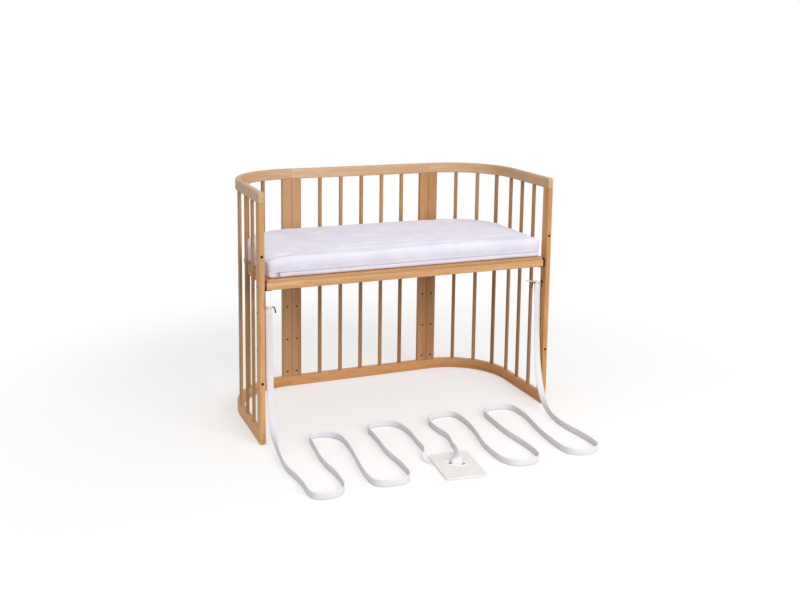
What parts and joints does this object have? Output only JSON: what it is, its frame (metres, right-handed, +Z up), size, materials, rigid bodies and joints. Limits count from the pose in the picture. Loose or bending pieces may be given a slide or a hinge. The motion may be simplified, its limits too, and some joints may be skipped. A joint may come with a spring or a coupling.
{
  "type": "convertible bedside crib",
  "caption": "Open-sided wooden bedside crib with a D-shaped slatted frame, lift-out mattress base, white mattress and a long floor strap with an anchor plate.",
  "frame": {"origin": "on the floor under the middle of the frame, half way between its open front and its back", "axes": "+X along the long side to the right seen from the open side, +Y towards the closed back, +Z up"},
  "size_m": [0.94, 0.8688, 0.732],
  "materials": {
    "beech": "oiled",
    "board_wood": "oiled",
    "webbing": "woven",
    "plate_plastic": "matt",
    "hook_steel": "satin",
    "zinc_steel": "zinc plated",
    "socket_brass": "dull",
    "bracket_steel": "satin",
    "foam": "open cell foam",
    "mattress_fabric": "quilted",
    "zip_plastic": "matt"
  },
  "bodies": {
    "frame": {"base_brackets_back": "bracket_steel", "base_brackets_front": "bracket_steel", "bottom_rail_left": "beech", "bottom_rail_middle": "beech", "bottom_rail_right": "beech", "bracket_bolts": "zinc_steel", "bracket_nuts": "zinc_steel", "front_post_left": "beech", "front_post_right": "beech", "rail_dowels": "beech", "seam_bolts": "zinc_steel", "seam_inserts": "socket_brass", "slat_left_1": "beech", "slat_left_2": "beech", "slat_left_3": "beech", "slat_left_4": "beech", "slat_left_5": "beech", "slat_left_6": "beech", "slat_middle_1": "beech", "slat_middle_2": "beech", "slat_middle_3": "beech", "slat_middle_4": "beech", "slat_middle_5": "beech", "slat_right_1": "beech", "slat_right_2": "beech", "slat_right_3": "beech", "slat_right_4": "beech", "slat_right_5": "beech", "slat_right_6": "beech", "socket_inserts": "socket_brass", "stile_left_inner": "beech", "stile_left_outer": "beech", "stile_right_inner": "beech", "stile_right_outer": "beech", "strap_floor_left": "webbing", "strap_floor_right": "webbing", "strap_from_slot": "webbing", "strap_hang_left": "webbing", "strap_hang_right": "webbing", "strap_hook_left": "hook_steel", "strap_hook_right": "hook_steel", "strap_plate": "plate_plastic", "strap_under_plate": "webbing", "top_rail_left": "beech", "top_rail_middle": "beech", "top_rail_right": "beech"},
    "bed_base": {"base_batten_left": "beech", "base_batten_middle": "beech", "base_batten_right": "beech", "base_board": "board_wood", "base_edge_left": "beech", "base_edge_right": "beech", "base_front_beam": "beech", "base_rear_beam": "beech", "board_screws": "zinc_steel"},
    "mattress": {"mattress_core": "foam", "mattress_cover": "mattress_fabric", "mattress_zip": "zip_plastic", "zip_puller": "zip_plastic"}
  },
  "joints": [
    {"name": "base_lift", "type": "slide", "parent": "frame", "child": "bed_base", "axis": [0, 0, 1], "range_m": [0, 0.3]},
    {"name": "mattress_lift", "type": "slide", "parent": "bed_base", "child": "mattress", "axis": [0, 0, 1], "range_m": [0, 0.2]}
  ]
}
